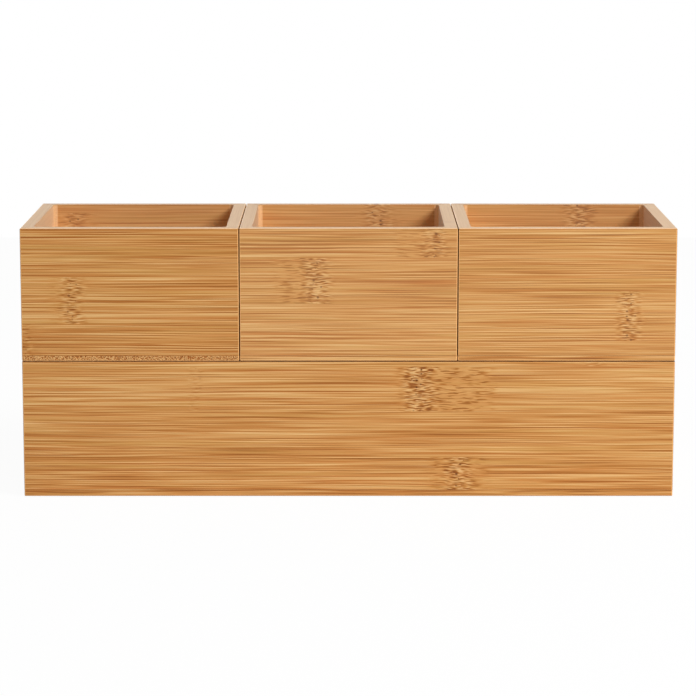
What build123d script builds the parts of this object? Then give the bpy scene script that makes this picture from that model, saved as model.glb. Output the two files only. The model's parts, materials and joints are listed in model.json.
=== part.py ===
"""Pen holder in flat-pressed bamboo: a long open tray with three square cups standing side by side on its rim.

Millimetres. The origin is the middle of the tray's underside, +X runs along the tray, the front looks
towards -Y and +Z is up.
"""

import os

from build123d import *

os.makedirs("parts", exist_ok=True)

# Cups: square boxes, all alike
cup_names = ("left_cup", "middle_cup", "right_cup")
cup_side = 100.0
cup_wall_height = 59.0
cup_wall_thickness = 6.0
cup_bottom_thickness = 2.5
cup_rim_rounding = 0.6
cup_gap = 0.2

# Tray: as long as the row of cups and as deep as one cup
tray_length = len(cup_names) * cup_side + (len(cup_names) - 1) * cup_gap
tray_depth = cup_side
tray_wall_height = 60.5
tray_wall_thickness = 6.0
tray_bottom_thickness = 3.0
tray_rim_rounding = 0.4

# Edges of every box
corner_rounding = 0.5
inner_corner_radius = 2.0
inner_rim_easing = 0.3
bottom_edge_easing = 0.4

# Directions in which a wall runs when its outer face is looked at, keyed by the side it closes
wall_runs = {"front": (1, 0, 0), "right": (0, 1, 0), "back": (-1, 0, 0), "left": (0, -1, 0)}


def make_wall(box_name, side, centre_x, foot_z, length, depth, thickness, height, rim_rounding):
    """Cut one mitred wall board out of the box's ring of four walls."""
    run, reach = (length, depth) if side in ("front", "back") else (depth, length)
    mitre_start = -thickness
    mitre_end = thickness + inner_corner_radius
    plane = Plane(origin=(centre_x, 0, foot_z), x_dir=wall_runs[side], z_dir=(0, 0, 1))
    with BuildPart() as wall:
        with BuildSketch(plane):
            Rectangle(run, reach)
            RectangleRounded(run - 2 * thickness, reach - 2 * thickness, inner_corner_radius,
                             mode=Mode.SUBTRACT)
        extrude(amount=height)
        rim = wall.faces().sort_by(Axis.Z)[-1]
        fillet(rim.outer_wire().edges(), rim_rounding)
        rim = wall.faces().sort_by(Axis.Z)[-1]
        chamfer(rim.inner_wires()[0].edges(), inner_rim_easing)
        with BuildSketch(plane):
            RectangleRounded(run, reach, corner_rounding)
            with BuildLine():
                Polyline(
                    (-run / 2 + mitre_start, -reach / 2 + mitre_start),
                    (run / 2 - mitre_start, -reach / 2 + mitre_start),
                    (run / 2 - mitre_end, -reach / 2 + mitre_end),
                    (-run / 2 + mitre_end, -reach / 2 + mitre_end),
                    close=True,
                )
            make_face(mode=Mode.INTERSECT)
        extrude(amount=height, mode=Mode.INTERSECT)
    wall.part.label = f"{box_name}_{side}_wall"
    export_step(wall.part, f"parts/{wall.part.label}.step")


def make_bottom_board(box_name, centre_x, foot_z, length, depth, thickness):
    """Make the board that closes a box from below and ends flush with the outside of its walls."""
    with BuildPart() as board:
        with BuildSketch(Plane(origin=(centre_x, 0, foot_z))):
            Rectangle(length, depth)
        extrude(amount=thickness)
        chamfer(board.faces().sort_by(Axis.Z)[0].edges(), bottom_edge_easing)
        with BuildSketch(Plane(origin=(centre_x, 0, foot_z))):
            RectangleRounded(length, depth, corner_rounding)
        extrude(amount=thickness, mode=Mode.INTERSECT)
    board.part.label = f"{box_name}_bottom_board"
    export_step(board.part, f"parts/{board.part.label}.step")


def make_box(box_name, centre_x, foot_z, length, depth, bottom_thickness, wall_thickness, wall_height, rim_rounding):
    """Make one open box: a bottom board with four mitred walls standing on it."""
    make_bottom_board(box_name, centre_x, foot_z, length, depth, bottom_thickness)
    wall_foot_z = foot_z + bottom_thickness
    for side in wall_runs:
        make_wall(box_name, side, centre_x, wall_foot_z, length, depth, wall_thickness, wall_height, rim_rounding)


# The tray stands on the table and the cups stand on the tray's rim
make_box("tray", 0, 0, tray_length, tray_depth, tray_bottom_thickness, tray_wall_thickness, tray_wall_height,
         tray_rim_rounding)
cup_foot_z = tray_bottom_thickness + tray_wall_height
for index, cup_name in enumerate(cup_names):
    cup_x = (index - (len(cup_names) - 1) / 2) * (cup_side + cup_gap)
    make_box(cup_name, cup_x, cup_foot_z, cup_side, cup_side, cup_bottom_thickness, cup_wall_thickness,
             cup_wall_height, cup_rim_rounding)
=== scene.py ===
import json
import math
import random
from collections import namedtuple

import bmesh
import bpy
from bpy.props import FloatProperty, FloatVectorProperty, IntProperty, PointerProperty
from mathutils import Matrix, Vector, noise

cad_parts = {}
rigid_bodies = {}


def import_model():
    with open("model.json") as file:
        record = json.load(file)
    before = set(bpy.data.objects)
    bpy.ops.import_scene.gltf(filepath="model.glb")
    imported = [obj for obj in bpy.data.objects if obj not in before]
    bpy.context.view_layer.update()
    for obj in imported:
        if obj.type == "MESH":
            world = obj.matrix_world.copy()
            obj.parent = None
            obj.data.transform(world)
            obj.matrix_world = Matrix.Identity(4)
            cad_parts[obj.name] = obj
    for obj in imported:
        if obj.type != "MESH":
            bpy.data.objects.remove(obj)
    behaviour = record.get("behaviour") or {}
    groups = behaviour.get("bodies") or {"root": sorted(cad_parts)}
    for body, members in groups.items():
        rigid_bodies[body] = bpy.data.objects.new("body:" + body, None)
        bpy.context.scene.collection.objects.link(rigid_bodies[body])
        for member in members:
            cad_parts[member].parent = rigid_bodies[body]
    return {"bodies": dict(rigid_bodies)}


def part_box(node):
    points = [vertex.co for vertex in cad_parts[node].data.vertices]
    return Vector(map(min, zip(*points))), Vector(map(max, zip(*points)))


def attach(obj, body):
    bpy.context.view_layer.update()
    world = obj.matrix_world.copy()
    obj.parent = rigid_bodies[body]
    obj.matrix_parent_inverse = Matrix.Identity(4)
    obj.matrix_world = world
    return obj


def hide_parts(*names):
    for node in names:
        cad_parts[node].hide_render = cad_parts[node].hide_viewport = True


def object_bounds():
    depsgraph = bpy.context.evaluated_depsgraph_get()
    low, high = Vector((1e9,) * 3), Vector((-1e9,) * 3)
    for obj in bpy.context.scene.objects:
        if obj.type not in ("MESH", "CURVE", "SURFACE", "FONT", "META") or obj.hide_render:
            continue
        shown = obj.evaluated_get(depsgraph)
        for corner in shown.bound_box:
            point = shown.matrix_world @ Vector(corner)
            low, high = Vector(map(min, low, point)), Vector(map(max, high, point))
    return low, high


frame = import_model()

bl_info = {
    "name": "Bamboo Pen Holder",
    "version": (1, 0, 0),
    "blender": (4, 5, 0),
    "location": "3D View > Sidebar > Pen Holder",
    "description": "Models a pen holder of bamboo boards: a long tray with three square cups standing on it",
    "category": "Add Mesh",
}

CAD_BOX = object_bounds()
MM = 0.001
OUTWARD = {
    "front": Vector((0, -1, 0)),
    "right": Vector((1, 0, 0)),
    "back": Vector((0, 1, 0)),
    "left": Vector((-1, 0, 0)),
}
BOXES = list(frame["bodies"])
CUPS = [name for name in BOXES if name != "tray"]

# How strong the grain is, how much soft sheen there is at low angles and how much the surface shines.
Surface = namedtuple("Surface", "contrast sheen shine")
LACQUERED = Surface(1.07, 0.1, 0.2)
BARE = Surface(0.7, 0.9, 0.3)
DULL = Surface(1.07, 0.0, 0.0)

# Some boxes are painted slightly paler than the left cup: partly the tone of their bamboo, partly a painted
# reflection of the soft light on the right.
BOX_PALENESS = {"left_cup": 0.01, "middle_cup": 0.075, "right_cup": 0.045, "tray": 0.015}

# A node mark crosses one strip of bamboo, from low to high. Its pits lie at along, and the fibres beside
# them are broken up as far as reach_back on one side and reach_on on the other. All but strength are in mm.
NodeMark = namedtuple("NodeMark", "along low high reach_back reach_on strength")

# What a node mark does to the grain: how far it pulls the fibres aside in mm, how broken they are, how near
# the column of pits is, the pits themselves and the pale wood between them.
EFFECTS = ("Shift", "Broken", "Near", "Pits", "Lips")

# What each face notes as an attribute of its mesh, for the materials to read: its tone with painted light
# and shade, and its painted edge highlight.
FACE_NOTES = ("tone_and_painted_light", "highlight")

# What every group that draws a board's grain is told.
BOARD_INPUTS = ("Place", "Seed", "Strip width", "Seam", "Tone_and_painted_light", "Highlight")

# How squarely a face looks in a direction: 1 is straight that way, 0.7 is 45 degrees off and 0 is sideways.
SQUARE = 0.9995
HALFWAY = 0.7
MAINLY_INWARD = 0.65
HARDLY = 0.05

# Strips lie side by side in a board: width of a strip, and where one seam between two strips is, in mm.
Strips = namedtuple("Strips", "width seam")

SEEN_STRIPS = {
    "tray_front_wall": Strips(21.2, 39.9),
    "left_cup_front_wall": Strips(21.9, 80.7),
    "middle_cup_front_wall": Strips(21.4, 90.1),
    "right_cup_front_wall": Strips(23.3, 96.1),
    "left_cup_bottom_board": Strips(21.4, -84.2),
    "left_cup_back_wall": Strips(21.3, 121.0),
    "right_cup_back_wall": Strips(21.3, 104.0),
}

SEEN_MARKS = {
    "tray_front_wall": [
        NodeMark(32.5, 39.9, 61.1, 9.0, 33.0, 1.0),
        NodeMark(51.5, 0.0, 18.7, 13.0, 12.0, 0.8),
        NodeMark(113.0, 61.1, 64.0, 6.0, 7.0, 0.4),
        NodeMark(-71.0, 39.9, 61.1, 3.0, 2.0, 0.15),
    ],
    "left_cup_front_wall": [
        NodeMark(-126.8, 80.7, 102.6, 9.0, 4.5, 0.6),
        NodeMark(-149.5, 66.0, 80.7, 4.0, 6.5, 0.3),
    ],
    "middle_cup_front_wall": [
        NodeMark(-14.7, 90.1, 111.5, 18.0, 2.5, 0.8),
        NodeMark(38.6, 111.5, 125.0, 17.0, 3.0, 0.6),
    ],
    "right_cup_front_wall": [
        NodeMark(129.0, 72.8, 96.1, 3.5, 3.5, 0.65),
    ],
    "left_cup_back_wall": [
        NodeMark(-133.0, 99.7, 121.0, 4.0, 9.0, 0.7),
    ],
    "right_cup_back_wall": [
        NodeMark(113.0, 104.0, 125.0, 8.0, 3.0, 1.0),
    ],
}


def srgb(red, green, blue):
    """Turn a colour on the usual 0 to 255 scale into the linear values that shaders take."""
    channels = []
    for value in (red, green, blue):
        share = value / 255
        channels.append(share / 12.92 if share <= 0.04045 else ((share + 0.055) / 1.055) ** 2.4)
    return tuple(channels)


def colour_property(name, description, default):
    """Declare one colour that a user can change."""
    return FloatVectorProperty(
        name=name, description=description, default=srgb(*default), size=3, subtype="COLOR", min=0, max=1)


def share_property(name, description, default):
    """Declare one share from 0 to 1 that a user can change."""
    return FloatProperty(name=name, description=description, default=default, min=0, max=1)


class PenHolderBoards(bpy.types.PropertyGroup):
    """Sizes of the boards that the frame doesn't give by itself."""

    wall_thickness: FloatProperty(
        name="Wall thickness", description="Thickness of a wall board",
        default=0.006, min=0.001, unit="LENGTH")
    corner_rounding: FloatProperty(
        name="Corner rounding", description="Radius of the upright outer edges",
        default=0.0005, min=0.0001, unit="LENGTH")
    inner_corner_radius: FloatProperty(
        name="Inner corner radius", description="Radius of the upright inner corners",
        default=0.002, min=0.0001, unit="LENGTH")
    cup_rim_rounding: FloatProperty(
        name="Cup rim rounding", description="Radius of the outer edge of a cup's rim",
        default=0.0006, min=0.0001, unit="LENGTH")
    tray_rim_rounding: FloatProperty(
        name="Tray rim rounding", description="Radius of the outer edge of the tray's rim",
        default=0.0004, min=0.0001, unit="LENGTH")
    inner_rim_easing: FloatProperty(
        name="Inner rim easing", description="Radius of the inner edge of every rim",
        default=0.0003, min=0.0001, unit="LENGTH")
    bottom_edge_easing: FloatProperty(
        name="Bottom edge easing", description="Rounding of the lower edge of every bottom board",
        default=0.0006, min=0.0001, unit="LENGTH")
    glue_line: FloatProperty(
        name="Glue line", description="Half the width of the fine line where two boards are glued together",
        default=0.00006, min=0.00001, unit="LENGTH")
    mitre_line: FloatProperty(
        name="Mitre line", description="Half the width of the fine line between two walls",
        default=0.00003, min=0.00001, unit="LENGTH")
    least_rounding: FloatProperty(
        name="Least rounding", description="Smallest radius of an upright corner, where the rim curves in",
        default=0.00006, min=0.00005, unit="LENGTH")
    sanding_wave: FloatProperty(
        name="Sanding wave", description="How far hand sanding takes the surfaces down in places",
        default=0.00008, min=0.0, unit="LENGTH")
    edge_steps: IntProperty(
        name="Edge steps", description="Faces across each rounded edge",
        default=5, min=1)


class PenHolderBamboo(bpy.types.PropertyGroup):
    """Colours of the bamboo."""

    fibre: colour_property("Fibre", "Darkest fibres", (132, 74, 24))
    brown: colour_property("Brown wood", "Wood with many fibres", (171, 109, 46))
    wood: colour_property("Wood", "Usual wood between the fibres", (198, 138, 73))
    light: colour_property("Light wood", "Wood with few fibres", (214, 162, 98))
    pale: colour_property("Pale wood", "Palest streaks", (228, 186, 125))
    red: colour_property("Red wood", "Reddish streaks along the fibres", (196, 118, 54))
    straw: colour_property("Straw wood", "Straw-coloured streaks along the fibres", (198, 150, 78))
    mark: colour_property("Node tint", "Brown wood beside a node mark", (168, 98, 44))
    pit: colour_property("Node pit", "Dark pits in a node mark", (96, 46, 8))
    lip: colour_property("Node lip", "Pale wood round the pits of a node mark", (240, 190, 130))
    # Painted light: the pale colour laid on rims, rim edges, inner corners and inner faces, mostly as
    # painted highlight and painted reflection, partly as paler unvarnished wood.
    bare_and_lit: colour_property("Bare wood", "Pale wood where the finish is thin", (252, 210, 162))
    # Painted highlight: light wood laid on the rounded outer edges, where light catches them.
    highlit: colour_property("Highlit wood", "Light wood of a worn edge", (250, 191, 124))
    # Painted shade: dark colours laid on the edges in a seam or a gap, where shade falls, with lighter
    # blotches.
    shade: colour_property("Shade", "Edges that lie in a seam or a gap", (76, 32, 6))
    lighter_shade: colour_property("Lighter shade", "Lighter places in those edges", (116, 62, 22))
    # How much painted highlight the rounded outer edges get.
    edge_highlight: share_property("Edge wear", "How worn the rounded edges are", 0.75)
    # Painted highlight on the rounded outer edge of a cup's rim.
    edge_paleness: share_property("Edge paleness", "How pale the outer edge of a cup's rim is", 0.8)
    # Painted highlight on the rounded upright inner corners.
    inner_corner_paleness: share_property(
        "Inner corner paleness", "How pale the upright inner corners are", 0.55)
    # Painted reflection: the flat tops of the rims are painted paler, as the bright surroundings reflect on
    # them at a low angle, partly paler sanded wood.
    rim_paleness: share_property("Rim paleness", "How pale the flat top of a rim is", 0.58)
    # The rims of the back walls get less of that painted reflection.
    back_rim_paleness: share_property("Back rim paleness", "How pale the rims of the back walls are", 0.2)
    # Painted shade: a dark line on the outer edges just below the rims.
    rim_line_darkness: share_property(
        "Rim line darkness", "How dark the outer edges are just below the rims", 0.14)
    # The inner faces of the front and back walls are painted paler: partly painted light, partly paler
    # unvarnished wood.
    inside_paleness: share_property("Inside paleness", "How pale the inner faces are", 0.14)
    # Painted light: the inner faces of the left and right walls are painted paler, standing in for the light
    # that falls on them.
    side_paleness: share_property(
        "Side paleness", "How pale the inner faces of the left and right walls are", 0.66)


class PenHolderStage(bpy.types.PropertyGroup):
    """Camera and light."""

    camera_distance: FloatProperty(
        name="Camera distance", description="From the front of the tray to the camera, along the floor",
        default=1.2773, min=0.1, unit="LENGTH")
    camera_height: FloatProperty(
        name="Camera height", description="Height of the camera above the floor",
        default=0.2833, min=0.0, unit="LENGTH")
    camera_side: FloatProperty(
        name="Camera side", description="How far the camera stands to the right of the object's middle",
        default=-0.00025, unit="LENGTH")
    camera_tilt: FloatProperty(
        name="Camera tilt", description="How far the camera looks down",
        default=math.radians(9.495), subtype="ANGLE")
    camera_lens: FloatProperty(
        name="Camera lens", description="Focal length in millimetres",
        default=145.8, min=10.0)
    key_power: FloatProperty(
        name="Key light", description="Power of the soft light from the front right, in watts",
        default=59.0, min=0.0)
    key_distance: FloatProperty(
        name="Key distance", description="From the cups to the soft light",
        default=2.4, min=0.5, unit="LENGTH")
    key_size: FloatProperty(
        name="Key size", description="Side of the square soft light",
        default=0.92, min=0.05, unit="LENGTH")
    fill_strength: FloatProperty(
        name="Fill light", description="Brightness of the surroundings as a light",
        default=0.30, min=0.0)


def bevel(bm, geometry, offset, steps, affect):
    """Round corners or edges off."""
    return bmesh.ops.bevel(
        bm, geom=geometry, offset=offset, offset_type="OFFSET", segments=steps, profile=0.5,
        affect=affect, material=-1)


def outline(bm, low, high, inset, radius, steps, z):
    """Lay a loop of edges round a rounded rectangle at height z and return the edges."""
    corners = bmesh.ops.create_grid(bm, x_segments=1, y_segments=1, size=0.5)["verts"]
    size = Vector((high.x - low.x - 2 * inset, high.y - low.y - 2 * inset, 1))
    centre = Vector(((low.x + high.x) / 2, (low.y + high.y) / 2, z))
    bmesh.ops.scale(bm, vec=size, verts=corners)
    bmesh.ops.translate(bm, vec=centre, verts=corners)
    rounded = bevel(bm, corners, radius, steps, "VERTICES")
    face = rounded["verts"][0].link_faces[0]
    edges = list(face.edges)
    bmesh.ops.delete(bm, geom=[face], context="FACES_ONLY")
    return edges


def arc(centre_inset, centre_z, radius, start, end, steps):
    """List the (inset, z) points of an arc in a wall's section. Angles are in degrees from straight out."""
    points = []
    for number in range(steps + 1):
        angle = math.radians(start + (end - start) * number / steps)
        points.append((centre_inset - radius * math.cos(angle), centre_z + radius * math.sin(angle)))
    return points


def bridge(bm, first, second):
    """Join two loops of edges. One is lifted meanwhile, since loops in one plane may join wrongly."""
    lift = Vector((0, 0, 10 * MM))
    verts = list({vert for edge in second for vert in edge.verts})
    bmesh.ops.translate(bm, vec=lift, verts=verts)
    bmesh.ops.bridge_loops(bm, edges=first + second)
    bmesh.ops.translate(bm, vec=-lift, verts=verts)


def wall_ring(low, high, foot_z, rim_rounding, boards):
    """Build the closed ring of four walls of a box, before it is cut at the mitres."""
    bm = bmesh.new()
    steps = boards.edge_steps
    easing = boards.inner_rim_easing
    thickness = boards.wall_thickness
    line = boards.glue_line
    outer = [(line, foot_z), (0, foot_z + line)]
    outer += arc(rim_rounding, high.z - rim_rounding, rim_rounding, 0, 90, steps)
    inner = arc(thickness - easing, high.z - easing, easing, 90, 180, steps)
    inner += [(thickness, foot_z)]
    loops = []
    for inset, z in outer:
        radius = max(boards.corner_rounding - inset, boards.least_rounding)
        loops.append(outline(bm, low, high, inset, radius, steps, z))
    for inset, z in inner:
        radius = boards.inner_corner_radius + thickness - inset
        loops.append(outline(bm, low, high, inset, radius, steps, z))
    for number, loop in enumerate(loops):
        bridge(bm, loops[number - 1], loop)
    bmesh.ops.recalc_face_normals(bm, faces=bm.faces)
    return bm


def cut_away(bm, point, outward, close):
    """Cut everything off that lies beyond a plane, and close the cut with a flat face if asked."""
    geometry = bm.verts[:] + bm.edges[:] + bm.faces[:]
    bmesh.ops.bisect_plane(bm, geom=geometry, plane_co=point, plane_no=outward, clear_outer=True)
    if close:
        rims = [edge for edge in bm.edges if edge.is_boundary]
        bmesh.ops.holes_fill(bm, edges=rims, sides=0)


def cut_wall(ring, outward, low, high, line):
    """Cut one mitred wall out of a ring of walls."""
    bm = ring.copy()
    across = Vector((-outward.y, outward.x, 0))
    middle = (low + high) / 2
    half = (high - low) / 2
    face_middle = middle + outward * abs(outward.dot(half))
    cut_away(bm, middle, -outward, close=False)
    for direction in (across, -across):
        corner = face_middle + direction * (abs(across.dot(half)) - line)
        cut_away(bm, corner, (direction - outward).normalized(), close=True)
    return bm


def edges_at(bm, z):
    """Find the edges that lie at one height."""
    near = 0.001 * MM
    return [edge for edge in bm.edges if all(abs(vert.co.z - z) < near for vert in edge.verts)]


def bottom_board(low, high, boards):
    """Build a bottom board with rounded corners and an eased lower edge."""
    bm = bmesh.new()
    bmesh.ops.create_cube(bm, size=1)
    bmesh.ops.scale(bm, vec=high - low, verts=bm.verts)
    bmesh.ops.translate(bm, vec=(low + high) / 2, verts=bm.verts)
    upright = [edge for edge in bm.edges if abs((edge.verts[0].co - edge.verts[1].co).z) > MM]
    bevel(bm, upright, boards.corner_rounding, boards.edge_steps, "EDGES")
    bevel(bm, edges_at(bm, low.z), boards.bottom_edge_easing, boards.edge_steps, "EDGES")
    bevel(bm, edges_at(bm, high.z), boards.glue_line, 1, "EDGES")
    return bm


def sand(bm, depth):
    """Divide a board into a grid and take its surfaces down slightly in places, as hand sanding does."""
    spacing = 12 * MM
    wave_length = 55 * MM
    corners = [vert.co.copy() for vert in bm.verts]
    for axis in range(3):
        direction = Vector([float(axis == number) for number in range(3)])
        first = min(co[axis] for co in corners)
        last = max(co[axis] for co in corners)
        cuts = int((last - first) / spacing)
        for cut in range(1, cuts + 1):
            place = direction * (first + (last - first) * cut / (cuts + 1))
            geometry = bm.verts[:] + bm.edges[:] + bm.faces[:]
            bmesh.ops.bisect_plane(bm, geom=geometry, plane_co=place, plane_no=direction)
    bm.normal_update()
    for vert in bm.verts:
        vert.co -= vert.normal * depth * (0.5 + 0.5 * noise.noise(vert.co / wave_length))


def is_rounded(normal):
    """Tell the rounded edges from the flat faces."""
    return max(abs(part) for part in normal) < SQUARE


def looks_inward(normal, inward):
    """Tell the faces that look mainly into the box."""
    return normal.dot(inward) > MAINLY_INWARD


def in_shade(normal, inward, covered):
    """Tell the edges that lie in a seam or a gap. A covered rim carries another box."""
    if not is_rounded(normal):
        return False
    looks_down = normal.z < -0.5
    on_covered_rim = covered and normal.z > 0.4 and normal.dot(inward) < HARDLY
    at_side_corner = abs(normal.z) < 0.3 and abs(normal.y) < 0.8 and not looks_inward(normal, inward)
    return looks_down or on_covered_rim or at_side_corner


def highlight_of(normal, inward, covered, bamboo):
    """Say how much painted highlight a face gets. Only the outer rounded edges get it, where light catches
    them, and not those of an open rim.
    """
    on_open_rim = normal.z > HARDLY and not covered
    is_highlit = is_rounded(normal) and not on_open_rim and not looks_inward(normal, inward)
    return bamboo.edge_highlight if is_highlit else 0.0


def tone_and_light_of(normal, inward, body, bamboo):
    """Say how much paler than usual a face is painted, from the way it faces. Below 0 it is painted darker.
    Mostly this is painted highlight, painted reflection and painted shade, partly a box's own tone and paler
    unvarnished inner wood.
    """
    if is_rounded(normal):
        below_rim = normal.z < HARDLY
        # Painted highlight on the upright inner corners.
        if below_rim and looks_inward(normal, inward):
            return bamboo.inner_corner_paleness
        if below_rim or body not in CUPS or normal.dot(inward) > HARDLY:
            return 0.0
        # The rounded outer edge of a cup's rim: painted highlight on its upper part, painted shade below it.
        return bamboo.edge_paleness if normal.z > HALFWAY else -bamboo.rim_line_darkness
    if looks_inward(normal, inward):
        # Inner faces are painted paler: painted light on the side walls, and on the front and back partly
        # painted light, partly paler unvarnished wood.
        return bamboo.side_paleness if inward.x != 0 else bamboo.inside_paleness
    is_rim = normal.z > HALFWAY and inward.z == 0
    # Other outer faces get their box's paler tone, partly a painted reflection of the soft light.
    if not is_rim:
        return BOX_PALENESS[body]
    # Flat rims get a painted reflection, less of it on the back walls.
    return bamboo.back_rim_paleness if inward.y < 0 else bamboo.rim_paleness


def note_tone_and_light(bm, inward, body):
    """Note each face's tone with painted light and shade, and its painted edge highlight, in the mesh."""
    bamboo = bpy.context.scene.pen_holder_bamboo
    for name in FACE_NOTES:
        bm.faces.layers.float.new(name)
    # A new layer can move those before it, so they are looked up only now.
    tone_and_painted_light, highlight = (bm.faces.layers.float[name] for name in FACE_NOTES)
    bm.normal_update()
    # Each face is painted paler or darker by the way it faces, as painted light and shade, and its rounded
    # edges get a painted highlight.
    for face in bm.faces:
        face[tone_and_painted_light] = tone_and_light_of(face.normal, inward, body, bamboo)
        face[highlight] = highlight_of(face.normal, inward, body not in CUPS, bamboo)


def frame_volume(node):
    """Measure the solid that a piece stands for."""
    bm = bmesh.new()
    bm.from_mesh(bpy.data.objects[node].data)
    volume = abs(bm.calc_volume())
    bm.free()
    return volume


def check_board(bm, node):
    """Stop if a board isn't closed, or doesn't fill the box and the volume of its solid in the frame."""
    if any(not edge.is_manifold for edge in bm.edges):
        raise RuntimeError(f"{node} isn't closed")
    low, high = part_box(node)
    slack = 0.15 * MM
    least_share = 0.95
    most_share = 1.01
    for axis in range(3):
        places = [vert.co[axis] for vert in bm.verts]
        if abs(min(places) - low[axis]) > slack or abs(max(places) - high[axis]) > slack:
            raise RuntimeError(f"{node} doesn't fill its box")
    share = bm.calc_volume() / frame_volume(node)
    if not least_share < share < most_share:
        raise RuntimeError(f"{node} has {share:.3f} of the volume of its solid")


def make_piece(bm, node, body, inward, materials):
    """Turn a finished board into a piece that stands for its frame node. Its inner face looks inward."""
    sharp_angle = math.radians(40)
    check_board(bm, node)
    note_tone_and_light(bm, inward, body)
    for face in bm.faces:
        face.smooth = True
    for edge in bm.edges:
        edge.smooth = edge.is_manifold and edge.calc_face_angle() < sharp_angle
    mesh = bpy.data.meshes.new(node + "_bamboo")
    bm.to_mesh(mesh)
    bm.free()
    piece = bpy.data.objects.new(node + "_bamboo", mesh)
    bpy.context.scene.collection.objects.link(piece)
    shading = piece.modifiers.new("Flat faces", "WEIGHTED_NORMAL")
    shading.keep_sharp = True
    for material in materials:
        mesh.materials.append(material)
    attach(piece, body)
    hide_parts(node)


def add_node(tree, kind, **settings):
    """Add a shader node and set its options."""
    node = tree.nodes.new(kind)
    for name, value in settings.items():
        setattr(node, name, value)
    return node


def feed(tree, socket, value):
    """Link a socket to another node's output, or set it to a plain value."""
    if isinstance(value, bpy.types.NodeSocket):
        tree.links.new(value, socket)
    elif socket.type == "RGBA":
        socket.default_value = (*value[:3], 1)
    else:
        socket.default_value = value


def maths(tree, operation, *values):
    """Combine numbers with a Math node."""
    node = add_node(tree, "ShaderNodeMath", operation=operation)
    for socket, value in zip(node.inputs, values):
        feed(tree, socket, value)
    return node.outputs[0]


def times(tree, first, second):
    """Multiply two numbers."""
    return maths(tree, "MULTIPLY", first, second)


def add_up(tree, start, weighted):
    """Add parts to a start value, each times its weight."""
    for part, weight in weighted:
        start = maths(tree, "MULTIPLY_ADD", part, weight, start)
    return start


def vectors(tree, operation, first, second):
    """Combine vectors with a Vector Math node."""
    node = add_node(tree, "ShaderNodeVectorMath", operation=operation)
    feed(tree, node.inputs[0], first)
    feed(tree, node.inputs[1], second)
    return node.outputs[0]


def vector(tree, *values):
    """Put three numbers together into a vector."""
    node = add_node(tree, "ShaderNodeCombineXYZ")
    for socket, value in zip(node.inputs, values):
        feed(tree, socket, value)
    return node.outputs[0]


def parts(tree, value):
    """Take a vector apart into its three numbers."""
    node = add_node(tree, "ShaderNodeSeparateXYZ")
    feed(tree, node.inputs[0], value)
    return node.outputs[0], node.outputs[1], node.outputs[2]


def step(tree, value, low, high):
    """Rise smoothly from 0 at low to 1 at high, which may be the smaller of the two."""
    node = add_node(tree, "ShaderNodeMapRange", interpolation_type="SMOOTHSTEP")
    for name, number in (("Value", value), ("From Min", low), ("From Max", high)):
        feed(tree, node.inputs[name], number)
    return node.outputs["Result"]


def tint(tree, amount, first, second):
    """Mix two colours."""
    node = add_node(tree, "ShaderNodeMix", data_type="RGBA")
    feed(tree, node.inputs[0], amount)
    feed(tree, node.inputs[6], first)
    feed(tree, node.inputs[7], second)
    return node.outputs[2]


def lay_over(tree, colour, layers):
    """Lay colours over a colour, one after another, each as much as its amount from 0 to 1 says."""
    for amount, over in layers:
        colour = tint(tree, amount, colour, over)
    return colour


def stretched(tree, place, cell, shift):
    """Scale a place in mm so that one cell = (along, across, through) in mm becomes one unit."""
    moved = vectors(tree, "ADD", place, shift)
    return vectors(tree, "DIVIDE", moved, cell)


def fibres(tree, place, cell, shift=(0, 0, 0), detail=1.0):
    """Noise drawn out along the fibres, between about -0.5 and 0.5."""
    node = add_node(tree, "ShaderNodeTexNoise")
    feed(tree, node.inputs["Vector"], stretched(tree, place, cell, shift))
    feed(tree, node.inputs["Scale"], 1.0)
    feed(tree, node.inputs["Detail"], detail)
    return maths(tree, "SUBTRACT", node.outputs["Fac"], 0.5)


def dashes(tree, place, cell, radius, shift=(0, 0, 0), least=0.2, sharp=0.0):
    """Separate long thin fibres, 1 in the middle of each and 0 outside it, thinner where chance has it."""
    least_reach = 0.01
    node = add_node(tree, "ShaderNodeTexVoronoi")
    feed(tree, node.inputs["Vector"], stretched(tree, place, cell, shift))
    feed(tree, node.inputs["Scale"], 1.0)
    chance = parts(tree, node.outputs["Color"])[0]
    reach = maths(tree, "MULTIPLY_ADD", chance, (1 - least) * radius, least * radius)
    reach = maths(tree, "MAXIMUM", reach, least_reach)
    return step(tree, node.outputs["Distance"], reach, times(tree, reach, sharp))


def thin_lines(tree, place, cell, start, full, shift):
    """Crisp thin lines along the fibres. They set in where the noise is at -start and are full at -full."""
    return step(tree, fibres(tree, place, cell, shift, 0.0), -start, -full)


def new_group(name, inputs, outputs):
    """Start a node group and return it with its input sockets and its output node."""
    kinds = {"Place": "Vector", "Color": "Color"}
    tree = bpy.data.node_groups.new(name, "ShaderNodeTree")
    for direction, labels in (("INPUT", inputs), ("OUTPUT", outputs)):
        for label in labels:
            kind = "NodeSocket" + kinds.get(label, "Float")
            tree.interface.new_socket(label, in_out=direction, socket_type=kind)
    return tree, tree.nodes.new("NodeGroupInput").outputs, tree.nodes.new("NodeGroupOutput")


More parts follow.
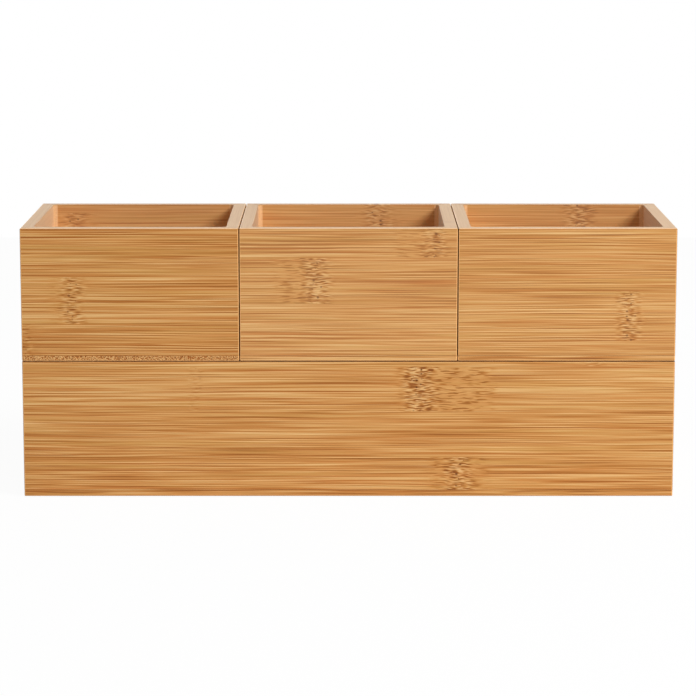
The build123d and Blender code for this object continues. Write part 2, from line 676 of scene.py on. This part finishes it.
def mark_group():
    """Build the node mark: a column of pits across a strip, with broken and wavy fibres beside it."""
    inputs = ("Place", "Along", "Low", "High", "Reach back", "Reach on", "Strength")
    edge = 0.35
    fade = 5.0
    tree, given, result = new_group("Node mark", inputs, EFFECTS)
    place = given["Place"]
    along, across = parts(tree, place)[:2]
    seed = vector(tree, 0.0, 0.0, times(tree, given["Along"], 3.7))
    own = vectors(tree, "ADD", place, seed)

    meander = times(tree, fibres(tree, own, (40, 6, 6)), 7.0)
    ragged = times(tree, fibres(tree, own, (9, 1.6, 1.6), (5, 0, 0)), 9.0)
    from_line = maths(tree, "SUBTRACT", maths(tree, "SUBTRACT", along, given["Along"]), meander)
    above = step(tree, maths(tree, "SUBTRACT", across, given["Low"]), 0.0, edge)
    below = step(tree, maths(tree, "SUBTRACT", given["High"], across), 0.0, edge)
    inside = times(tree, times(tree, above, below), given["Strength"])

    loose = maths(tree, "ADD", from_line, ragged)
    behind = step(tree, maths(tree, "ADD", loose, given["Reach back"]), -fade, fade)
    before = step(tree, maths(tree, "SUBTRACT", given["Reach on"], loose), -fade, fade)
    zone = times(tree, inside, times(tree, behind, before))
    distance = maths(tree, "ABSOLUTE", from_line)
    near_reach = maths(tree, "MULTIPLY_ADD", given["Strength"], 9.0, 2.5)
    near = times(tree, inside, step(tree, distance, near_reach, 1.5))
    core = times(tree, inside, step(tree, distance, 3.4, 1.6))

    ripple = fibres(tree, own, (4.0, 2.2, 60), (0, 3, 0), 0.0)
    swing = maths(tree, "MULTIPLY_ADD", near, 0.6, times(tree, zone, 0.6))
    pits = dashes(tree, own, (2.0, 1.6, 60), 0.46, least=0.0, sharp=0.5)
    lips = dashes(tree, own, (3.0, 1.4, 60), 0.5, (0.3, 0.9, 0), least=0.3, sharp=0.3)
    values = (times(tree, swing, ripple), zone, near, times(tree, pits, core), times(tree, lips, core))
    for name, value in zip(EFFECTS, values):
        feed(tree, result.inputs[name], value)
    return tree


def ramp(tree, value, colours):
    """Spread colours evenly over the values from 0 to 1."""
    node = add_node(tree, "ShaderNodeValToRGB")
    feed(tree, node.inputs["Fac"], value)
    stops = node.color_ramp.elements
    while len(stops) < len(colours):
        stops.new(0.5)
    for number, colour in enumerate(colours):
        stops[number].position = number / (len(colours) - 1)
        stops[number].color = (*colour, 1)
    return node.outputs["Color"]


def strip_values(tree, given):
    """Give each strip its own chance values, and the distance to the nearest seam in mm."""
    across = parts(tree, given["Place"])[1]
    lane = maths(tree, "DIVIDE", maths(tree, "SUBTRACT", across, given["Seam"]), given["Strip width"])
    number = maths(tree, "FLOOR", lane)
    from_seam = times(tree, maths(tree, "PINGPONG", lane, 0.5), given["Strip width"])
    chance = add_node(tree, "ShaderNodeTexWhiteNoise", noise_dimensions="2D")
    feed(tree, chance.inputs["Vector"], vector(tree, number, given["Seed"], 0.0))
    return chance.outputs["Color"], chance.outputs["Value"], from_seam


def wood_colour(tree, value, bamboo):
    """Turn a value from 0, dark fibre, to 1, palest wood, into a colour."""
    return ramp(tree, value, [bamboo.fibre, bamboo.brown, bamboo.wood, bamboo.light, bamboo.pale])


def add_tone_and_painted_light(tree, given, colour, bamboo):
    """Lay a painted highlight on the rounded edges, paint the wood paler where its tone and painted light is
    above 0, and darker, in the colour of the pits as painted shade, below 0.
    """
    paler = maths(tree, "MAXIMUM", given["Tone_and_painted_light"], 0.0)
    darker = maths(tree, "MAXIMUM", times(tree, given["Tone_and_painted_light"], -1.0), 0.0)
    # The pit colour here serves as painted shade.
    return lay_over(tree, colour, ((given["Highlight"], bamboo.highlit), (paler, bamboo.bare_and_lit), (darker, bamboo.pit)))


def own_fibres(tree, given, chances):
    """Give each strip fibres of its own, which sway a little and are pulled aside at a node mark."""
    moved = vectors(tree, "ADD", given["Place"], vector(tree, 0.0, given["Shift"], given["Shift"]))
    own = vectors(tree, "ADD", moved, vectors(tree, "MULTIPLY", chances, (900.0, 370.0, 530.0)))
    sway = times(tree, fibres(tree, own, (150, 18, 18)), 2.6)
    quiver = times(tree, fibres(tree, own, (30, 4, 4), (0, 9, 0)), 0.35)
    return vectors(tree, "ADD", own, vector(tree, 0.0, maths(tree, "ADD", sway, quiver), quiver))


def dark_lines(tree, own, whole):
    """Draw the dark fibres, plainer in some places than in others."""
    richness = step(tree, fibres(tree, own, (120, 6, 7), (53, 55, 57)), -0.2, 0.2)
    richness = times(tree, maths(tree, "MULTIPLY_ADD", richness, 0.6, 0.4), whole)
    long_lines = thin_lines(tree, own, (95, 0.5, 0.65), 0.05, 0.19, (3, 5, 7))
    short_lines = thin_lines(tree, own, (34, 0.4, 0.5), 0.06, 0.19, (13, 15, 17))
    return times(tree, maths(tree, "MAXIMUM", long_lines, times(tree, short_lines, 0.6)), richness)


def grain_parts(tree, given, own, level, whole, lines):
    """List all that makes the wood lighter or darker than usual, each with its weight."""
    long_streaks = fibres(tree, own, (100, 0.37, 0.46), (23, 25, 27), 0.0)
    short_streaks = fibres(tree, own, (38, 0.31, 0.4), (113, 115, 117), 0.0)
    streaks = maths(tree, "MULTIPLY_ADD", short_streaks, 0.75, long_streaks)
    middling = fibres(tree, own, (110, 2.2, 2.8), (33, 35, 37))
    broad = fibres(tree, own, (170, 8, 8), (43, 45, 47))
    torn = thin_lines(tree, own, (6.5, 0.6, 60), 0.02, 0.13, (123, 125, 127))
    knotted = fibres(tree, own, (3.6, 0.46, 60), (133, 135, 137), 0.0)
    splits = dashes(tree, own, (7.0, 0.9, 60), 0.42, (63, 65, 67), 0.2, 0.4)
    strokes = dashes(tree, own, (4.2, 0.8, 60), 0.44, (73, 75, 77), 0.2, 0.4)
    return (
        (times(tree, streaks, whole), 1.18),
        (middling, 0.10),
        (broad, 0.17),
        (maths(tree, "SUBTRACT", level, 0.5), 0.12),
        (times(tree, torn, given["Broken"]), -0.42),
        (times(tree, knotted, given["Near"]), 3.4),
        (lines, -0.38),
        (times(tree, splits, given["Broken"]), -0.42),
        (times(tree, strokes, given["Near"]), -0.6),
    )


def grain_colour(tree, given, own, value, lines, seam, bamboo):
    """Colour the wood, with reddish and straw-coloured streaks, node marks and the seams between strips."""
    redness = step(tree, fibres(tree, own, (110, 1.6, 2), (83, 85, 87)), 0.0, 0.3)
    strawness = step(tree, fibres(tree, own, (90, 2.6, 3), (93, 95, 97)), 0.0, 0.3)
    layers = (
        (maths(tree, "MULTIPLY_ADD", lines, 0.35, times(tree, redness, 0.28)), bamboo.red),
        (times(tree, strawness, 0.4), bamboo.straw),
        (times(tree, given["Near"], 0.16), bamboo.mark),
        (times(tree, given["Lips"], 0.55), bamboo.lip),
        (given["Pits"], bamboo.pit),
        (times(tree, seam, 0.3), bamboo.brown),
    )
    return add_tone_and_painted_light(tree, given, lay_over(tree, wood_colour(tree, value, bamboo), layers), bamboo)


def grain_group(bamboo):
    """Build the solid grain of a bamboo board: strips side by side, each with its own fibres."""
    usual = 0.62
    inputs = (*BOARD_INPUTS, "Contrast", *EFFECTS)
    tree, given, result = new_group("Bamboo grain", inputs, ("Color", "Roughness", "Height"))
    chances, level, from_seam = strip_values(tree, given)
    own = own_fibres(tree, given, chances)
    whole = maths(tree, "SUBTRACT", 1.0, times(tree, given["Broken"], 0.85))
    lines = dark_lines(tree, own, whole)
    value = add_up(tree, usual, grain_parts(tree, given, own, level, whole, lines))
    from_usual = maths(tree, "SUBTRACT", value, usual)
    value = maths(tree, "MULTIPLY_ADD", from_usual, given["Contrast"], usual)
    seam = step(tree, from_seam, 0.16, 0.04)
    feed(tree, result.inputs["Color"], grain_colour(tree, given, own, value, lines, seam, bamboo))
    feed(tree, result.inputs["Roughness"], maths(tree, "MULTIPLY_ADD", value, -0.12, 0.50))
    height = maths(tree, "MULTIPLY_ADD", given["Pits"], -0.2, value)
    feed(tree, result.inputs["Height"], maths(tree, "SUBTRACT", height, times(tree, seam, 0.4)))
    return tree


def end_group(bamboo):
    """Build the end grain of a bamboo board: the cut ends of its fibres, strip by strip."""
    usual = 0.68
    tree, given, result = new_group("Bamboo ends", BOARD_INPUTS, ("Color", "Height"))
    chances, level, from_seam = strip_values(tree, given)
    own = vectors(tree, "ADD", given["Place"], vectors(tree, "MULTIPLY", chances, (90.0, 37.0, 53.0)))
    speckle = fibres(tree, own, (30, 0.55, 0.45), (1, 2, 3), 0.0)
    cloud = fibres(tree, own, (30, 3.0, 1.5), (4, 5, 6))
    ends = dashes(tree, own, (30, 1.0, 0.8), 0.45, sharp=0.3)
    from_level = maths(tree, "SUBTRACT", level, 0.5)
    value = add_up(tree, usual, ((speckle, 6.0), (cloud, 0.5), (ends, -1.0), (from_level, 0.2)))
    seam = step(tree, from_seam, 0.3, 0.05)
    layers = ((0.35, bamboo.red), (times(tree, seam, 0.5), bamboo.fibre))
    colour = lay_over(tree, wood_colour(tree, value, bamboo), layers)
    feed(tree, result.inputs["Color"], add_tone_and_painted_light(tree, given, colour, bamboo))
    feed(tree, result.inputs["Height"], value)
    return tree


def group_for(name, build, *values):
    """Find a node group by its name, or build it once."""
    return bpy.data.node_groups.get(name) or build(*values)


def board_place(tree, axes):
    """Read the place on a board in mm: along the fibres, across the strips and through the board."""
    spot = add_node(tree, "ShaderNodeTexCoord").outputs["Object"]
    values = dict(zip("XYZ", parts(tree, vectors(tree, "MULTIPLY", spot, (1 / MM, 1 / MM, 1 / MM)))))
    return vector(tree, *(values[axis] for axis in axes))


def finish_surface(tree, board, depth, surface):
    """Join a board's colour, with its painted light and highlights, its shine and its fine relief to the
    material's shader.
    """
    for name in FACE_NOTES:
        noted = add_node(tree, "ShaderNodeAttribute", attribute_name=name)
        feed(tree, board.inputs[name.capitalize()], noted.outputs["Fac"])
    shader = tree.nodes["Principled BSDF"]
    feed(tree, shader.inputs["Base Color"], board.outputs["Color"])
    relief = add_node(tree, "ShaderNodeBump")
    relief.inputs["Strength"].default_value = 1.0
    relief.inputs["Distance"].default_value = depth
    feed(tree, relief.inputs["Height"], board.outputs["Height"])
    feed(tree, shader.inputs["Normal"], relief.outputs["Normal"])
    shader.inputs["IOR"].default_value = 1.45
    shader.inputs["Specular IOR Level"].default_value = surface.shine
    shader.inputs["Sheen Weight"].default_value = surface.sheen
    shader.inputs["Sheen Roughness"].default_value = 0.3
    shader.inputs["Sheen Tint"].default_value = (1.0, 0.86, 0.7, 1.0)
    return shader


def new_material(name):
    """Start a material and return it with its node tree."""
    material = bpy.data.materials.new(name)
    material.use_nodes = True
    return material, material.node_tree


def shade_material():
    """Make the dull edges that lie in a seam or a gap, painted dark as painted shade with lighter blotches,
    once for all the boards.
    """
    name = "Edges in shade"
    known = bpy.data.materials.get(name)
    if known:
        return known
    bamboo = bpy.context.scene.pen_holder_bamboo
    material, tree = new_material(name)
    blotches = step(tree, fibres(tree, board_place(tree, "XYZ"), (7, 7, 2)), -0.2, 0.25)
    shader = tree.nodes["Principled BSDF"]
    feed(tree, shader.inputs["Base Color"], tint(tree, blotches, bamboo.shade, bamboo.lighter_shade))
    feed(tree, shader.inputs["Roughness"], maths(tree, "MULTIPLY_ADD", blotches, -0.1, 0.95))
    shader.inputs["Specular IOR Level"].default_value = 0.0
    return material


def add_board(tree, group, place, seed, strips):
    """Add the group that draws a board's grain and tell it where the strips lie."""
    board = add_node(tree, "ShaderNodeGroup", node_tree=group)
    for label, value in zip(BOARD_INPUTS, (place, seed, strips.width, strips.seam)):
        feed(tree, board.inputs[label], value)
    return board


def grain_material(name, axes, seed, strips, marks, surface):
    """Make the long grain of one board, with its node marks."""
    relief_depth = 0.03 * MM
    bamboo = bpy.context.scene.pen_holder_bamboo
    material, tree = new_material(name)
    place = board_place(tree, axes)
    board = add_board(tree, group_for("Bamboo grain", grain_group, bamboo), place, seed, strips)
    feed(tree, board.inputs["Contrast"], surface.contrast)
    effects = {effect: 0.0 for effect in EFFECTS}
    for mark in marks:
        piece = add_node(tree, "ShaderNodeGroup", node_tree=group_for("Node mark", mark_group))
        for socket, value in zip(piece.inputs, (place, *mark)):
            feed(tree, socket, value)
        for effect, so_far in effects.items():
            operation = "ADD" if effect == "Shift" else "MAXIMUM"
            effects[effect] = maths(tree, operation, piece.outputs[effect], so_far)
    for effect, value in effects.items():
        feed(tree, board.inputs[effect], value)
    shader = finish_surface(tree, board, relief_depth, surface)
    feed(tree, shader.inputs["Roughness"], board.outputs["Roughness"])
    return material


def end_material(node, axes, seed, strips):
    """Make the duller end grain of one board."""
    relief_depth = 0.08 * MM
    bamboo = bpy.context.scene.pen_holder_bamboo
    material, tree = new_material(node + "_ends")
    group = group_for("Bamboo ends", end_group, bamboo)
    board = add_board(tree, group, board_place(tree, axes), seed, strips)
    shader = finish_surface(tree, board, relief_depth, LACQUERED)
    shader.inputs["Roughness"].default_value = 0.6
    return material


def strips_of(node, chance):
    """Say where the strips of a board lie."""
    usual_width = 21.3
    return SEEN_STRIPS.get(node) or Strips(usual_width, chance.uniform(0, usual_width))


def marks_of(node, strips, span, reach, chance):
    """List the node marks of a board: those seen on the real one, or one here and there by chance."""
    if node in SEEN_MARKS:
        return SEEN_MARKS[node]
    usual_distance = 240
    likelihood = (span[1] - span[0]) / usual_distance
    first = math.floor((reach[0] - strips.seam) / strips.width)
    last = math.ceil((reach[1] - strips.seam) / strips.width)
    if node.endswith("bottom_board"):
        # The first strip shows on the front edge, which is plain.
        first += 1
    marks = []
    for number in range(first, last):
        low = strips.seam + number * strips.width
        if chance.random() < likelihood:
            along = chance.uniform(*span)
            reach_back = chance.uniform(3, 16)
            reach_on = chance.uniform(3, 12)
            strength = chance.uniform(0.5, 1.0)
            marks.append(NodeMark(along, low, low + strips.width, reach_back, reach_on, strength))
    return marks


def box_corners(box_name):
    """Read a box's outer corners and the top of its bottom board from the frame."""
    low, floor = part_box(box_name + "_bottom_board")
    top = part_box(box_name + "_front_wall")[1].z
    return low, Vector((floor.x, floor.y, top)), floor.z


def board_finish(node, axes, box, seed, outside):
    """Make the long-grain materials of a board's outside and of its unvarnished inner faces and rims, and
    find its strips.
    """
    chance = random.Random(node)
    strips = strips_of(node, chance)
    low, high = box
    span, reach = [(low["XYZ".index(axis)] / MM, high["XYZ".index(axis)] / MM) for axis in axes[:2]]
    marks = marks_of(node, strips, span, reach, chance)
    outer = grain_material(node + "_grain", axes, seed, strips, marks, outside)
    bare_and_lit = grain_material(node + "_bare_grain", axes, seed, strips, marks, BARE)
    return [outer, bare_and_lit, shade_material()], strips


def material_number(normal, inward, covered):
    """Number a face's material: 0 is the outside, 1 the unvarnished, paler-painted inside and rims, 2 an
    edge painted as in shade.
    """
    if in_shade(normal, inward, covered):
        return 2
    least_up = 0.995 if covered else HALFWAY
    return int(looks_inward(normal, inward) or normal.z > least_up)


def outside_of(box_name, outward, low, high):
    """Choose the surface of a wall's outer face. It is dull where it looks into a gap between cups."""
    outer_x = high.x if outward.x > 0 else low.x
    at_gap = box_name in CUPS and outward.x != 0 and abs(outer_x) < CAD_BOX[1].x - MM
    return DULL if at_gap else LACQUERED


def build_walls(box_names, rim_rounding, boards):
    """Make the four mitred walls of each box."""
    for box_name in box_names:
        low, high, floor_z = box_corners(box_name)
        ring = wall_ring(low, high, floor_z, rim_rounding, boards)
        for number, (side, outward) in enumerate(OUTWARD.items()):
            node = f"{box_name}_{side}_wall"
            bm = cut_wall(ring, outward, low, high, boards.mitre_line)
            sand(bm, boards.sanding_wave)
            axes = "XZY" if outward.x == 0 else "YZX"
            seed = len(OUTWARD) * BOXES.index(box_name) + number
            outside = outside_of(box_name, outward, low, high)
            materials = board_finish(node, axes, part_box(node), seed, outside)[0]
            bm.normal_update()
            for face in bm.faces:
                face.material_index = material_number(face.normal, -outward, box_name not in CUPS)
            make_piece(bm, node, box_name, -outward, materials)
        ring.free()


def build_bottoms(box_names, boards):
    """Make the bottom board of each box, with end grain on the faces across its fibres."""
    for box_name in box_names:
        node = box_name + "_bottom_board"
        low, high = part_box(node)
        axes = "YXZ" if box_name == "left_cup" else "XYZ"
        seed = len(OUTWARD) * len(BOXES) + BOXES.index(box_name)
        materials, strips = board_finish(node, axes, (low, high), seed, LACQUERED)
        bm = bottom_board(low, high, boards)
        sand(bm, boards.sanding_wave)
        bm.normal_update()
        along = "XYZ".index(axes[0])
        up = Vector((0, 0, 1))
        end_number = len(materials)
        for face in bm.faces:
            is_end = abs(face.normal[along]) > HALFWAY
            face.material_index = end_number if is_end else material_number(face.normal, up, False)
        materials.append(end_material(node, axes, seed, strips))
        make_piece(bm, node, box_name, up, materials)


class PENHOLDER_OT_tray_walls(bpy.types.Operator):
    """Make the four mitred walls of the tray"""

    bl_idname = "penholder.tray_walls"
    bl_label = "Tray walls"

    def execute(self, context):
        boards = context.scene.pen_holder_boards
        build_walls(["tray"], boards.tray_rim_rounding, boards)
        return {"FINISHED"}


class PENHOLDER_OT_tray_bottom(bpy.types.Operator):
    """Make the bottom board of the tray"""

    bl_idname = "penholder.tray_bottom"
    bl_label = "Tray bottom"

    def execute(self, context):
        build_bottoms(["tray"], context.scene.pen_holder_boards)
        return {"FINISHED"}


class PENHOLDER_OT_cup_walls(bpy.types.Operator):
    """Make the mitred walls of the three cups"""

    bl_idname = "penholder.cup_walls"
    bl_label = "Cup walls"

    def execute(self, context):
        boards = context.scene.pen_holder_boards
        build_walls(CUPS, boards.cup_rim_rounding, boards)
        return {"FINISHED"}


class PENHOLDER_OT_cup_bottoms(bpy.types.Operator):
    """Make the bottom boards of the three cups"""

    bl_idname = "penholder.cup_bottoms"
    bl_label = "Cup bottoms"

    def execute(self, context):
        build_bottoms(CUPS, context.scene.pen_holder_boards)
        return {"FINISHED"}


def seen_directly(tree):
    """Tell camera and mirror rays, which see the white backdrop, from the rays that light the object."""
    path = add_node(tree, "ShaderNodeLightPath")
    return maths(tree, "MAXIMUM", path.outputs["Is Camera Ray"], path.outputs["Is Glossy Ray"])


def floor_material():
    """Make a floor that the camera sees as almost plain white, with the object's shadow faintly on it."""
    white_share = 0.955
    material, tree = new_material("White floor")
    tree.nodes.clear()
    lit = add_node(tree, "ShaderNodeBsdfDiffuse")
    feed(tree, lit.inputs["Color"], (0.9, 0.9, 0.9))
    glow = add_node(tree, "ShaderNodeEmission")
    feed(tree, glow.inputs["Color"], (1.0, 1.0, 1.0))
    mix = add_node(tree, "ShaderNodeMixShader")
    feed(tree, mix.inputs[0], times(tree, seen_directly(tree), white_share))
    feed(tree, mix.inputs[1], lit.outputs[0])
    feed(tree, mix.inputs[2], glow.outputs[0])
    end = add_node(tree, "ShaderNodeOutputMaterial")
    feed(tree, end.inputs["Surface"], mix.outputs[0])
    return material


def build_floor(scene):
    """Lay the floor under the object."""
    half_side = 0.9
    bm = bmesh.new()
    bmesh.ops.create_grid(bm, x_segments=1, y_segments=1, size=half_side)
    mesh = bpy.data.meshes.new("floor")
    bm.to_mesh(mesh)
    bm.free()
    floor = bpy.data.objects.new("floor", mesh)
    scene.collection.objects.link(floor)
    mesh.materials.append(floor_material())


def build_world(scene, fill_strength):
    """Surround the object with soft light, and show plain white behind it."""
    world = bpy.data.worlds.new("Soft surroundings")
    scene.world = world
    world.use_nodes = True
    tree = world.node_tree
    background = tree.nodes["Background"]
    feed(tree, background.inputs["Color"], (1.0, 1.0, 1.0))
    strength = maths(tree, "MULTIPLY_ADD", seen_directly(tree), 1 - fill_strength, fill_strength)
    feed(tree, background.inputs["Strength"], strength)


def build_key(scene, stage):
    """Hang a square soft light to the front right, above the cups."""
    key = bpy.data.lights.new("Key softbox", "AREA")
    key.shape = "SQUARE"
    key.size = stage.key_size
    key.energy = stage.key_power
    lamp = bpy.data.objects.new("Key softbox", key)
    scene.collection.objects.link(lamp)
    target = Vector((0, 0, 0.09))
    direction = Vector((0.66, -0.46, 0.60)).normalized()
    lamp.location = target + direction * stage.key_distance
    lamp.rotation_euler = (-direction).to_track_quat("-Z", "Y").to_euler()
    lamp.visible_camera = False


def build_camera(scene, stage):
    """Set the camera in front of the object, a little above it."""
    low, high = CAD_BOX
    lens = bpy.data.cameras.new("Photo camera")
    lens.lens = stage.camera_lens
    camera = bpy.data.objects.new("Photo camera", lens)
    scene.collection.objects.link(camera)
    middle_x = (low.x + high.x) / 2
    camera.location = (middle_x + stage.camera_side, low.y - stage.camera_distance, stage.camera_height)
    camera.rotation_euler = (math.radians(90) - stage.camera_tilt, 0, 0)
    scene.camera = camera


class PENHOLDER_OT_stage(bpy.types.Operator):
    """Make the floor, the light and the camera"""

    bl_idname = "penholder.stage"
    bl_label = "Stage"

    def execute(self, context):
        scene = context.scene
        stage = scene.pen_holder_stage
        build_floor(scene)
        build_world(scene, stage.fill_strength)
        build_key(scene, stage)
        build_camera(scene, stage)
        scene.view_settings.view_transform = "Standard"
        return {"FINISHED"}


class PENHOLDER_PT_panel(bpy.types.Panel):
    """Lists the parts of the pen holder and their settings"""

    bl_label = "Pen Holder"
    bl_idname = "PENHOLDER_PT_panel"
    bl_space_type = "VIEW_3D"
    bl_region_type = "UI"
    bl_category = "Pen Holder"

    def draw(self, context):
        for operator in OPERATORS:
            self.layout.operator(operator.bl_idname)
        scene = context.scene
        for group in (scene.pen_holder_boards, scene.pen_holder_bamboo, scene.pen_holder_stage):
            column = self.layout.column(align=True)
            for name in type(group).__annotations__:
                column.prop(group, name)


OPERATORS = (
    PENHOLDER_OT_tray_walls,
    PENHOLDER_OT_tray_bottom,
    PENHOLDER_OT_cup_walls,
    PENHOLDER_OT_cup_bottoms,
    PENHOLDER_OT_stage,
)
CLASSES = (PenHolderBoards, PenHolderBamboo, PenHolderStage, *OPERATORS, PENHOLDER_PT_panel)


def register():
    """Register the classes and hang their settings on the scene."""
    for cls in CLASSES:
        bpy.utils.register_class(cls)
    bpy.types.Scene.pen_holder_boards = PointerProperty(type=PenHolderBoards)
    bpy.types.Scene.pen_holder_bamboo = PointerProperty(type=PenHolderBamboo)
    bpy.types.Scene.pen_holder_stage = PointerProperty(type=PenHolderStage)


def unregister():
    """Take the settings and the classes away again."""
    del bpy.types.Scene.pen_holder_stage
    del bpy.types.Scene.pen_holder_bamboo
    del bpy.types.Scene.pen_holder_boards
    for cls in reversed(CLASSES):
        bpy.utils.unregister_class(cls)


def main():
    """Make the whole object and its stage."""
    register()
    bpy.ops.penholder.tray_walls()
    bpy.ops.penholder.tray_bottom()
    bpy.ops.penholder.cup_walls()
    bpy.ops.penholder.cup_bottoms()
    bpy.ops.penholder.stage()


if __name__ == "__main__":
    main()
